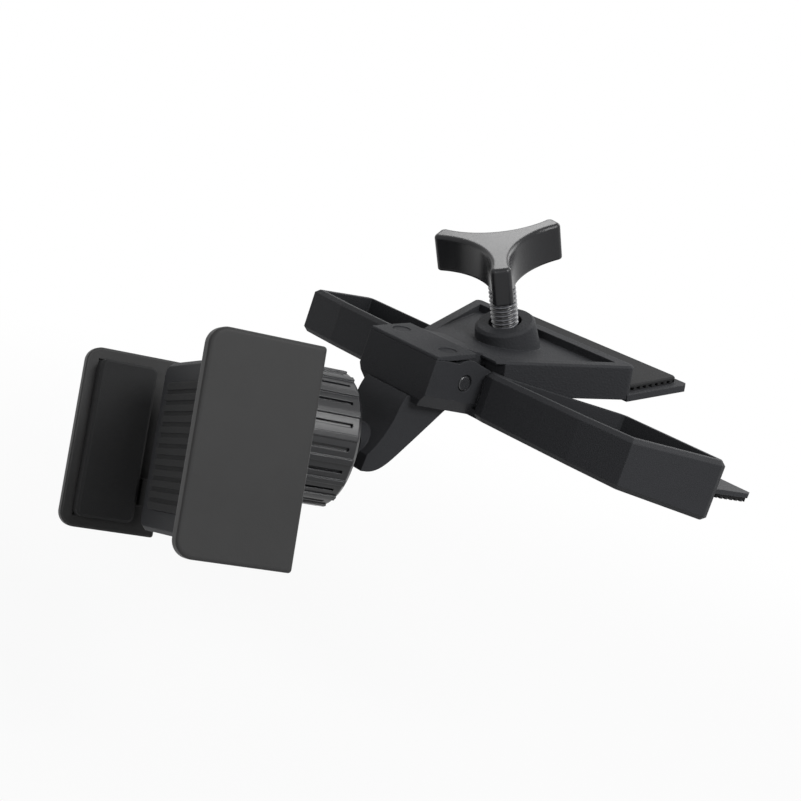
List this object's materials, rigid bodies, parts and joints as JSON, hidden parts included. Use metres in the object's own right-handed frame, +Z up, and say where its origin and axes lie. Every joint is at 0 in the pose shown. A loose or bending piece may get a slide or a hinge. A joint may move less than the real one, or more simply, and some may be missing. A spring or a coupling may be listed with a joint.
{
  "type": "cd slot phone holder",
  "caption": "Phone holder that clamps into a car CD slot: spreading blades worked by a thumb screw, a ball joint with a ring nut, and a cradle with two sliding jaws.",
  "frame": {"origin": "middle of the slot mouth: between the two lower blades where they leave the wings, at mid thickness of the lower blades and their pads", "axes": "+Y into the slot along the blades, +X to the right as seen by the user, +Z up"},
  "size_m": [0.1152, 0.1293, 0.0942],
  "materials": {
    "black_plastic": "fine grained matte black",
    "satin_plastic": "smooth satin dark grey",
    "gloss_plastic": "semi-gloss black",
    "inner_plastic": "smooth natural acetal",
    "pad_rubber": "matte",
    "black_steel": "black oxide, slightly glossy",
    "plain_steel": "zinc plated"
  },
  "bodies": {
    "clamp_base": {"lower_body": "black_plastic", "hinge_pin": "black_steel", "left_blade_pad": "pad_rubber", "right_blade_pad": "pad_rubber", "ball_stud": "black_plastic"},
    "clamp_top": {"upper_plate": "black_plastic", "upper_blade_pad": "pad_rubber", "screw_nut": "plain_steel"},
    "screw_end": {"screw_foot": "inner_plastic"},
    "screw_and_knob": {"clamp_screw": "black_steel", "thumb_knob": "gloss_plastic"},
    "ball_inner": {"ball_liner": "inner_plastic"},
    "ball_outer": {"ball_seat": "inner_plastic"},
    "cradle": {"cradle_back": "black_plastic", "cradle_front": "black_plastic", "front_pad": "pad_rubber", "pinion_axle": "plain_steel", "brake_washer": "plain_steel", "case_screw_1": "black_steel", "case_screw_2": "black_steel", "case_screw_3": "black_steel", "case_screw_4": "black_steel"},
    "ring": {"ring_nut": "gloss_plastic"},
    "jaw_left": {"left_jaw": "satin_plastic", "left_jaw_pad": "pad_rubber"},
    "jaw_right": {"right_jaw": "satin_plastic", "right_jaw_pad": "pad_rubber"},
    "gear": {"pinion": "inner_plastic"}
  },
  "joints": [
    {"name": "clamp_hinge", "type": "hinge", "parent": "clamp_base", "child": "clamp_top", "pos_m": [0, -0.0344, 0.003], "axis": [1, 0, 0], "range_deg": [-15.6, 0]},
    {"name": "screw_feed", "type": "slide", "parent": "clamp_top", "child": "screw_end", "axis": [0, -0.5307, 0.8476], "range_m": [0, 0.00776]},
    {"name": "screw_turn", "type": "hinge", "parent": "screw_end", "child": "screw_and_knob", "pos_m": [0, -0.01763, 0.0162], "axis": [0, -0.5307, 0.8476], "range_deg": [0, 2795.19]},
    {"name": "ball_pitch", "type": "hinge", "parent": "clamp_base", "child": "ball_inner", "pos_m": [0, -0.0622, -0.0153], "axis": [1, 0, 0], "range_deg": [-16.08, 9.92]},
    {"name": "ball_yaw", "type": "hinge", "parent": "ball_inner", "child": "ball_outer", "pos_m": [0, -0.0622, -0.0153], "axis": [0, -0.0537, 0.9986], "range_deg": [-2.55, 39.45]},
    {"name": "ball_spin", "type": "hinge", "parent": "ball_outer", "child": "cradle", "pos_m": [0, -0.0622, -0.0153], "axis": [0.3164, 0.9473, 0.051], "continuous": true},
    {"name": "ring_turn", "type": "hinge", "parent": "cradle", "child": "ring", "pos_m": [0, -0.0622, -0.0153], "axis": [0.3164, 0.9473, 0.051], "range_deg": [0, 180]},
    {"name": "left_slide", "type": "slide", "parent": "cradle", "child": "jaw_left", "axis": [-0.9035, 0.3173, -0.2881], "range_m": [-0.009, 0.008]},
    {"name": "right_slide", "type": "slide", "parent": "cradle", "child": "jaw_right", "axis": [0.9035, -0.3173, 0.2881], "range_m": [-0.009, 0.008]},
    {"name": "gear_turn", "type": "hinge", "parent": "cradle", "child": "gear", "pos_m": [-0.00325, -0.07794, -0.02244], "axis": [0.3164, 0.9473, 0.051], "range_deg": [-85.94, 76.39]}
  ],
  "couplings": [
    {"joint": "screw_turn", "follows": "screw_feed", "rad_per_m": 6283.2},
    {"joint": "clamp_hinge", "follows": "screw_feed", "rad_per_m": -35.067},
    {"joint": "right_slide", "follows": "left_slide", "ratio": 1},
    {"joint": "gear_turn", "follows": "left_slide", "rad_per_m": 166.67}
  ]
}
